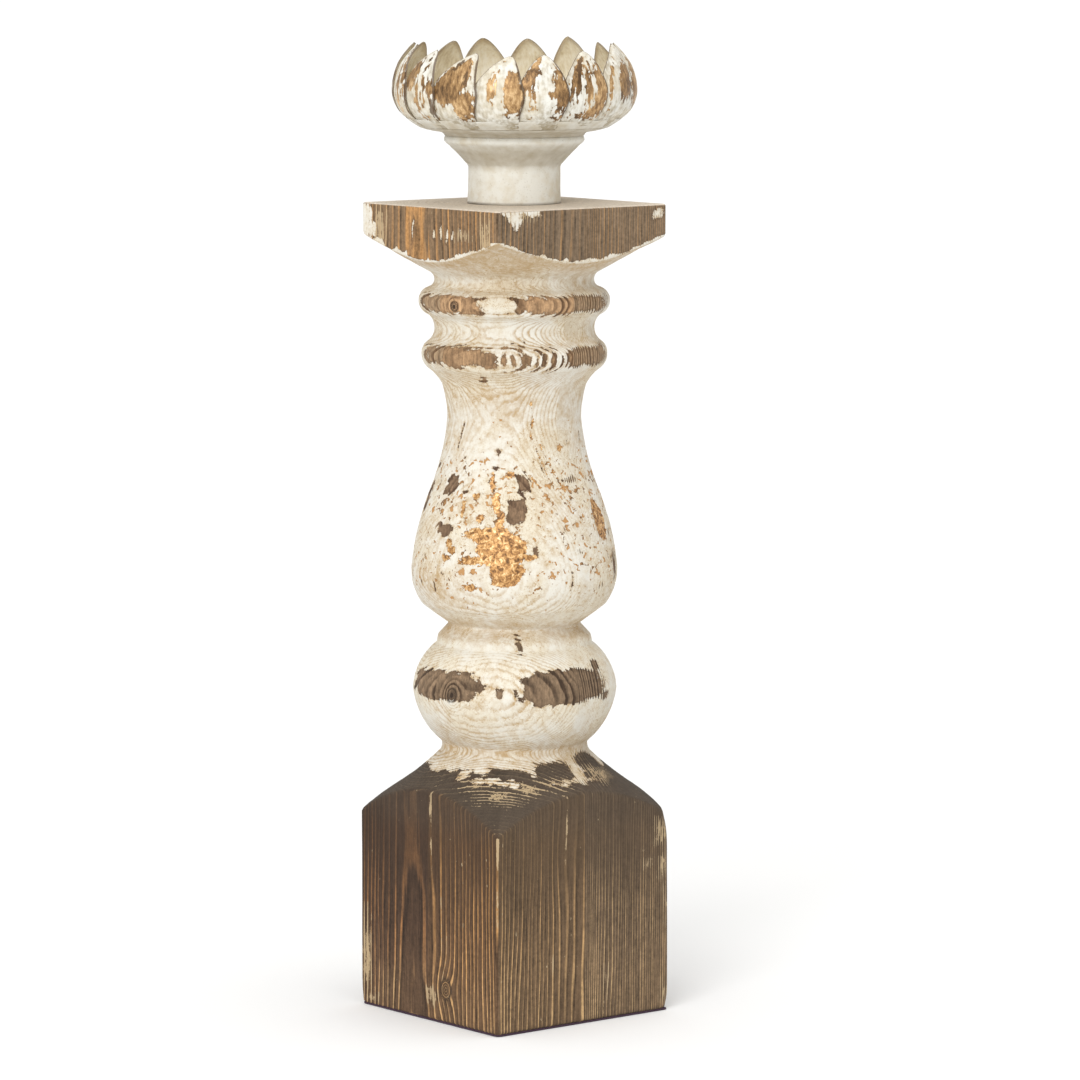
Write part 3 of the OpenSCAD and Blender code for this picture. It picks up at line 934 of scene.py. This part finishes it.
# How much tan lies at each height of the neck, and under the dish: on the neck dirt, with painted shade on
# the cone under its flare and just under the dish; under the dish all painted shade
NECK_DIRT_AND_SHADE = [
    (504, 0.30), (507, 0.14), (512, 0.06), (524, 0.16), (530, 0.52), (536, 0.62), (540, 0.48), (543, 0.16),
    (547, 0.40),
]
DISH_UNDERSIDE_SHADE = [(546, 0.70), (549, 0.66), (551.5, 0.50), (554, 0.40), (558, 0.26)]

# The bowl that the dish and the petals share, as radius and height above the dish's seat
BOWL_LOW = [
    (43.1, 0.0), (43.6, 1.0), (44.9, 1.9), (47.6, 2.5), (51.0, 3.0), (55.0, 3.9), (59.0, 5.3), (61.4, 6.8),
    (63.9, 8.4), (FOOT_R, 10.6),
]
BOWL_HIGH = [
    (FOOT_R, 10.6), (69.2, 12.9), (71.6, 16.0), (73.5, 20.0), (74.6, 24.4), (CUP_R, 28.2), (74.4, 33.0),
    (73.2, 38.6), (71.0, 44.6), (68.2, 49.4), (64.6, 54.2), (60.5, 58.6),
]


def turned(radii, heights, columns):
    """Rings of points round the axis, or one point where the radius is 0, and the faces between them.
    Each ring's radius is one number, or one for each column."""
    angles = np.radians(np.arange(columns) * 360.0 / columns)
    numbers, points, count = [], [], 0
    for r, z in zip(radii, heights):
        if np.max(r) < 1e-6:
            numbers.append(np.array([count]))
            points.append(np.array([[0.0, 0.0, z]]))
        else:
            numbers.append(np.append(count + np.arange(columns), count))
            points.append(np.column_stack([r * np.cos(angles), r * np.sin(angles), np.full(columns, z)]))
        count += len(points[-1])
    return np.concatenate(points), [strip(a, b) for a, b in zip(numbers[:-1], numbers[1:])]


def lathe(name, radii, heights, columns, material, fields, wobble, seed):
    """A turned solid from a closed outline that starts and ends on the axis."""
    points, faces = turned(radii, heights, columns)
    flat_radius = np.hypot(points[:, 0], points[:, 1])
    values = fields(points, flat_radius)
    swell = wobble * (noise(points, 24.0, seed) + 0.35 * noise(points, 6.0, seed + 1))
    points[:, :2] *= (1.0 + swell / np.maximum(flat_radius, 20.0))[:, None]
    return make_piece(name, points, faces, material, values)


def neck(material):
    heights, radii = measured_outline(node_points("neck"), POST_TOP - 0.5, NECK_TOP + 0.5, 20.0)
    radii, heights = evenly(radii, heights, 0.9)
    radii = softened(radii, 1)
    radii += 0.35 * hill(NECK_TOP - 3.2, 1.5, heights) - 0.4 * hill(NECK_TOP - 6.0, 1.2, heights)
    radii[-4:] -= np.array([0.1, 0.25, 0.45, 0.8])
    radii = np.concatenate([[0.0], radii, [WELL_R + 1.2, WELL_R + 1.2, 0.0]])
    heights = np.concatenate([[heights[0]], heights, [heights[-1], WELL_FLOOR - 1.2, WELL_FLOOR - 1.2]])

    def fields(points, radius):
        z = points[:, 2]
        psi = wrapped(np.degrees(np.arctan2(points[:, 1], points[:, 0])) - FRONT_CORNER)
        # Dirt and painted shade by height, a little more low on the left
        dirt_and_shade = by_height(NECK_DIRT_AND_SHADE, z) + 0.05 * cloud(points, 16.0, 81)
        dirt_and_shade += 0.2 * hill(-50.0, 22.0, psi) * hill(515.0, 14.0, z)
        # A painted shadow line round the foot of the neck, where it stands on the top square, strongest on
        # the left
        dark = 0.8 * smooth(506.3, 504.8, z) * (0.6 + 0.4 * hill(-52.0, 25.0, psi))
        return dict(dirt_and_shade=dirt_and_shade, dark=dark, chip=6.0 * (noise(points, 5.0, 82) - 1.0))

    piece = lathe("turned_neck", radii, heights, 200, material, fields, 0.18, 83)
    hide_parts("neck")


def dish(material):
    bowl = np.array(BOWL_LOW)
    radii, heights = evenly(bowl[:, 0], bowl[:, 1] + NECK_TOP, 0.8)
    radii, heights = softened(radii, 1), softened(heights, 1)
    rim_r = FOOT_R - 2.1
    well_z = WELL_FLOOR - NECK_TOP
    rim = [(rim_r + 1.6, 14.6), (rim_r + 1.0, 14.9), (rim_r + 0.4, 14.6), (rim_r - 0.8, 10.6)]
    hollow = [(59.0, 6.7), (55.0, 5.2), (51.0, 4.2), (47.0, 3.6), (44.0, 2.8), (42.4, 1.8), (41.6, 1.2)]
    well = [(WELL_R + 0.6, 1.2), (WELL_R, 0.7), (WELL_R, well_z + 0.5), (WELL_R - 0.6, well_z)]
    screw_hole = [(SCREW_R, well_z), (SCREW_R, well_z - 1.0), (0.0, well_z - 1.0)]
    inner = np.array(rim + hollow + well + screw_hole)
    under = np.array([(0.0, well_z - 1.2), (WELL_R + 1.2, well_z - 1.2), (WELL_R + 1.2, 0.0)])
    radii = np.concatenate([under[:, 0], radii, [rim_r + 1.2], inner[:, 0]])
    heights = np.concatenate([under[:, 1] + NECK_TOP, heights, [PETAL_FOOT + 0.1], inner[:, 1] + NECK_TOP])

    def fields(points, radius):
        z = points[:, 2]
        outer = np.interp(radius, [row[0] for row in BOWL_LOW], [row[1] + NECK_TOP for row in BOWL_LOW])
        below = z < outer + 0.6
        # Painted shade under the dish, darkest next to the neck, and an even tan inside
        dirt_and_shade = np.where(below, by_height(DISH_UNDERSIDE_SHADE, z), 0.5) + 0.08 * cloud(points, 14.0, 91)
        dark = np.where(below, 0.0, 0.12)
        return dict(dirt_and_shade=dirt_and_shade, dark=dark, chip=6.0 * (noise(points, 5.0, 92) - 0.95))

    piece = lathe("spun_dish", radii, heights, 240, material, fields, 0.12, 93)
    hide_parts("dish")


# Each petal: how far its tip leans round the cup, in degrees, the tip's height, and its bronze areas as
# (from, to) across, where -1 is the trailing edge and 1 the lapped edge, and (from, to) up, 0 to 1
PETALS = [
    (4.5, 597.0, [(0.20, 0.98, 0.22, 0.72), (-0.45, -0.15, 0.45, 0.80), (0.3, 0.9, 0.62, 0.78)]),
    (0.0, 597.5, [
        (-0.95, -0.35, 0.46, 0.98), (0.45, 1.0, 0.22, 0.80), (0.1, 0.4, 0.42, 0.52),
        (-0.45, -0.3, 0.35, 0.6),
    ]),
    (0.5, 599.5, [
        (-0.75, -0.3, 0.42, 0.92), (0.35, 1.0, 0.20, 0.82), (-0.1, 0.2, 0.35, 0.85),
        (-0.25, 0.8, 0.15, 0.24),
    ]),
    (9.0, 603.0, [(0.0, 0.9, 0.35, 0.80), (-0.6, -0.45, 0.4, 0.8)]),
    (5.0, 603.0, [(-0.5, 0.3, 0.30, 0.85)]),
    (1.0, 602.0, [(-0.8, 0.0, 0.50, 0.95), (0.4, 0.95, 0.25, 0.65)]),
    (-6.0, 602.5, [(0.1, 0.9, 0.25, 0.75), (-0.7, -0.4, 0.45, 0.8)]),
    (-5.0, 605.5, [(-0.6, 0.1, 0.30, 0.70), (0.5, 0.95, 0.5, 0.9)]),
    (-2.0, 604.0, [(0.3, 0.95, 0.25, 0.85), (-0.9, -0.5, 0.4, 0.75)]),
    (3.0, 604.5, [(-0.5, 0.6, 0.40, 0.85)]),
    (-1.0, 603.0, [(0.0, 0.95, 0.22, 0.70), (-0.6, -0.35, 0.5, 0.85)]),
    (6.0, 603.0, [(-0.85, -0.1, 0.40, 0.90), (0.5, 1.0, 0.3, 0.6)]),
    (0.0, 603.0, [(0.2, 0.9, 0.30, 0.80)]),
    (-4.0, 602.5, [(-0.9, -0.3, 0.35, 0.85), (0.2, 0.45, 0.2, 0.7), (0.65, 0.9, 0.4, 0.85)]),
    (4.0, 600.0, [
        (-0.95, -0.05, 0.50, 0.86), (0.35, 0.5, 0.35, 0.80), (0.0, 0.15, 0.15, 0.45),
        (0.6, 0.98, 0.4, 0.62),
    ]),
    (9.5, 598.5, [
        (-0.90, 0.35, 0.34, 0.85), (0.05, 0.98, 0.14, 0.50), (-0.2, 0.7, 0.5, 0.93),
        (-1.0, -0.85, 0.2, 0.6),
    ]),
]
# Where dark umber shows on a few petals, in the same terms
UMBER = {
    2: [(-0.95, -0.75, 0.40, 0.52)],
    3: [(-0.62, -0.35, 0.70, 0.95)],
    15: [(0.80, 1.0, 0.15, 0.46)],
    16: [(0.45, 0.6, 0.60, 0.85), (-0.98, -0.85, 0.22, 0.40), (-0.6, -0.2, 0.80, 0.92)],
}


def in_leaf(u, v, height, areas):
    """How far inside any of a petal's areas each point lies, in millimetres."""
    best = np.full(u.shape, -OPEN)
    for left, right, low, high in areas:
        across = np.abs(u - (left + right) / 2.0) / ((right - left) / 2.0)
        up = np.abs(v - (low + high) / 2.0) / ((high - low) / 2.0)
        size = min((right - left) / 2.0 * PETAL_HALF_W, (high - low) / 2.0 * height)
        best = np.maximum(best, (1.0 - (across ** 2.6 + up ** 2.6) ** (1 / 2.6)) * size)
    return best


def petal(number, material):
    """One leaf: a closed sheet, bulging between its edges, that rises out of the dish's surface."""
    lean, tip_z, areas = PETALS[number - 1]
    across_count, up_count = 26, 46
    foot_z = PETAL_FOOT - FOOT_OVERLAP
    v_line = 1.0 - (1.0 - np.linspace(0.0, 1.0, up_count + 1)) ** 1.35
    u, v = np.meshgrid(np.linspace(-1.0, 1.0, across_count + 1), v_line)
    z = foot_z + (tip_z - foot_z) * v
    height = tip_z - foot_z
    belly = (PETAL_FOOT + PETAL_BELLY - foot_z) / height
    narrowing = np.clip((v - belly) / (1.0 - belly), 0.0, 1.0)
    width = PETAL_HALF_W * np.where(v < belly, 0.86 + 0.14 * np.sin(v / belly * math.pi / 2), 1.0)
    below_tip = (1.0 - v) * height
    ogive = 2.6 * (below_tip + 0.12) ** 0.62
    width = (width ** -6.0 + ogive ** -6.0) ** (-1.0 / 6.0)
    rand = np.random.default_rng(700 + number)
    lean_mm = math.radians(lean) * 60.0
    right_width = width * (1.0 - 0.30 * smooth(0.55, 0.08, v))
    y = u * np.where(u > 0.0, right_width, width) + (2.0 + lean_mm) * narrowing ** 1.6
    y += rand.uniform(-0.5, 0.5)

    bowl = np.array(BOWL_LOW[-4:-1] + BOWL_HIGH)
    radius = np.interp(z, bowl[:, 1] + NECK_TOP, bowl[:, 0])
    out = smooth(foot_z + 0.3, PETAL_FOOT + 6.0, z)
    out = np.maximum(out, 0.55 * smooth(foot_z, foot_z + 1.6, z))
    bulge = 0.8 * (1.0 - u ** 2) * np.sin(np.clip(v, 0.0, 1.0) * math.pi) ** 0.7
    tuck = -0.9 * smooth(-0.2, -1.0, u) * out
    tip_curl = rand.uniform(-1.6, 1.2) * smooth(0.7, 1.0, v)
    flat = np.column_stack([u.ravel() * PETAL_HALF_W, v.ravel() * 50.0, np.full(u.size, number * 30.0)])
    hammered = (0.30 * noise(flat, 9.0, 101) + 0.35 * noise(flat, 22.0, 102)).reshape(u.shape)
    radius = radius + bulge + tuck + tip_curl + hammered * out - 0.55 * (1.0 - out)
    x = np.sqrt(np.maximum(radius ** 2 - (y - LAP_SHIFT * out) ** 2, 1.0))
    turn = math.radians(FIRST_PETAL + PETAL_STEP * (number - 1))
    c, s = math.cos(turn), math.sin(turn)
    outer = np.stack([x * c - y * s, x * s + y * c, z], 2)

    step_u = np.gradient(outer, axis=1)
    step_v = np.gradient(outer, axis=0)
    normal = np.cross(step_u, step_v)
    normal /= np.linalg.norm(normal, axis=2)[:, :, None]
    side_rim = (1.0 - np.abs(u)) * np.maximum(width, 1.0)
    rim = np.minimum(side_rim, (1.0 - v) * 14.0 + side_rim * 0.4)
    # The foot is thinned, so that it lies on the dish without coming through it
    sheet = SHEET * (0.3 + 0.7 * smooth(PETAL_FOOT - 0.6, PETAL_FOOT + 2.4, z))
    thickness = sheet * (0.45 + 0.55 * smooth(0.0, 0.9, rim))
    centre_line = outer - normal * (sheet / 2.0)[:, :, None]
    front = centre_line + normal * (thickness / 2.0)[:, :, None]
    back = centre_line - normal * (thickness / 2.0)[:, :, None]

    grid = np.arange(u.size).reshape(u.shape)
    faces = [strip(grid[i], grid[i + 1]) for i in range(up_count)]
    hind = grid + u.size
    faces += [strip(hind[i + 1], hind[i]) for i in range(up_count)]
    loop = np.concatenate([grid[0, :-1], grid[:-1, -1], grid[-1, :0:-1], grid[::-1, 0]])
    faces.append(strip(loop + u.size, loop))
    points = np.concatenate([front.reshape(-1, 3), back.reshape(-1, 3)])

    # The dark edge line is wider along the lapped edge: painted shadow where it stands over the next petal
    rim = rim - 0.8 * (u > 0.0) * smooth(0.1, 0.25, v) * smooth(0.97, 0.85, v)
    rub = in_leaf(u, v, height, areas)
    umber = in_leaf(u, v, height, UMBER.get(number, [(0.88, 0.98, 0.25, 0.6)]))
    # Darker towards the foot and a little with the hammering, with painted shadow along the trailing edge,
    # which lies under the neighbour's lapped edge
    dirt_and_shade = 0.06 + 0.5 * smooth(0.22, 0.0, v) + 0.22 * smooth(-0.55, -1.0, u) + 0.12 * hammered
    values = dict(rub=rub, umber=umber, dirt_and_shade=dirt_and_shade, rim=rim)
    values = {key: np.tile(value.ravel(), 2) for key, value in values.items()}
    values["inside"] = np.repeat([0.0, 1.0], u.size)
    piece = make_piece(f"leaf_{number:02d}", points, faces, material, values)
    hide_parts(f"petal_{number:02d}")


def base_felt(material):
    """A sheet of felt with soft, slightly uneven edges."""
    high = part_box("base_felt")[1]
    columns = 480
    reach = rounded_square_reach(np.arange(columns) * 360.0 / columns, high.x / MM, 3.0)
    # Rows as (share of the way out, share of the way up)
    levels = [
        (0.0, 0.0), (0.6, 0.0), (0.97, 0.0), (0.996, 0.15), (1.0, 0.5), (0.998, 0.85), (0.99, 1.0),
        (0.6, 1.0), (0.0, 1.0),
    ]
    radii, heights = [row[0] * reach for row in levels], [row[1] * high.z / MM for row in levels]
    points, faces = turned(radii, heights, columns)
    points[:, :2] *= (1.0 - 0.002 * (1.0 + noise(points, 3.0, 111)))[:, None]
    piece = make_piece("felt_sheet", points, faces, material)
    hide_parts("base_felt")


def dress_hidden_nodes():
    """The dowel, the washer and the screw keep their CAD shape, and get their real materials."""
    beech, steel = beech_material(), steel_material()
    for name, material in (("neck_dowel", beech), ("cup_washer", steel), ("cup_screw", steel)):
        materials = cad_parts[name].data.materials
        materials.clear()
        materials.append(material)


# ---- The studio ----

CAMERA_AZIMUTH = -39.05
CAMERA_ELEVATION = 6.754
CAMERA_DISTANCE = 3.4866
CAMERA_LENS = 186.93
AIM_HEIGHT = 0.29484
AIM_RIGHT = 0.01587


def camera():
    turn, tip = math.radians(CAMERA_AZIMUTH), math.radians(CAMERA_ELEVATION)
    right = np.array([math.cos(turn), math.sin(turn), 0.0])
    away = np.array([math.sin(turn), -math.cos(turn), 0.0])
    aim = AIM_RIGHT * right + np.array([0.0, 0.0, AIM_HEIGHT])
    data = bpy.data.cameras.new("camera")
    data.lens = CAMERA_LENS
    data.sensor_width = 36.0
    data.clip_end = 400.0
    eye = placed("camera", data)
    eye.location = aim + CAMERA_DISTANCE * (away * math.cos(tip) + np.array([0.0, 0.0, math.sin(tip)]))
    eye.rotation_euler = (math.pi / 2 - tip, 0.0, turn)
    bpy.context.scene.camera = eye


def sun(name, azimuth, elevation, strength, spread):
    """A soft light from far away; the azimuth is a world angle, towards the light."""
    data = bpy.data.lights.new(name, "SUN")
    data.energy = strength
    data.angle = math.radians(spread)
    lamp = placed(name, data)
    lamp.rotation_euler = (math.radians(90.0 - elevation), 0.0, math.radians(azimuth + 90.0))


def studio():
    half = 120.0
    mesh = bpy.data.meshes.new("floor")
    corners = [(-half, -half, 0), (half, -half, 0), (half, half, 0), (-half, half, 0)]
    mesh.from_pydata(corners, [], [(0, 1, 2, 3)])
    g = Graph("floor_white")
    mesh.materials.append(g.finish((0.90, 0.90, 0.895, 1.0), 0.9, specular=0.1))
    floor = placed("floor", mesh)
    world = bpy.data.worlds.new("studio")
    world.use_nodes = True
    world.node_tree.nodes["Background"].inputs["Color"].default_value = (1.0, 0.995, 0.985, 1.0)
    world.node_tree.nodes["Background"].inputs["Strength"].default_value = 0.62
    bpy.context.scene.world = world
    sun("key", -148.0, 26.0, 1.55, 30.0)
    sun("overhead", -100.0, 80.0, 1.25, 60.0)
    bpy.context.scene.view_settings.view_transform = "Standard"


def main():
    camera()
    studio()
    timber = timber_material()
    rows = post_rows()
    for side in BOARDS:
        quarter_board(side, rows, timber)
    neck(painted_material("painted_wood"))
    dish(painted_material("painted_metal"))
    leaf_material = petal_material()
    for number in range(1, len(PETALS) + 1):
        petal(number, leaf_material)
    base_felt(felt_material())
    dress_hidden_nodes()


main()
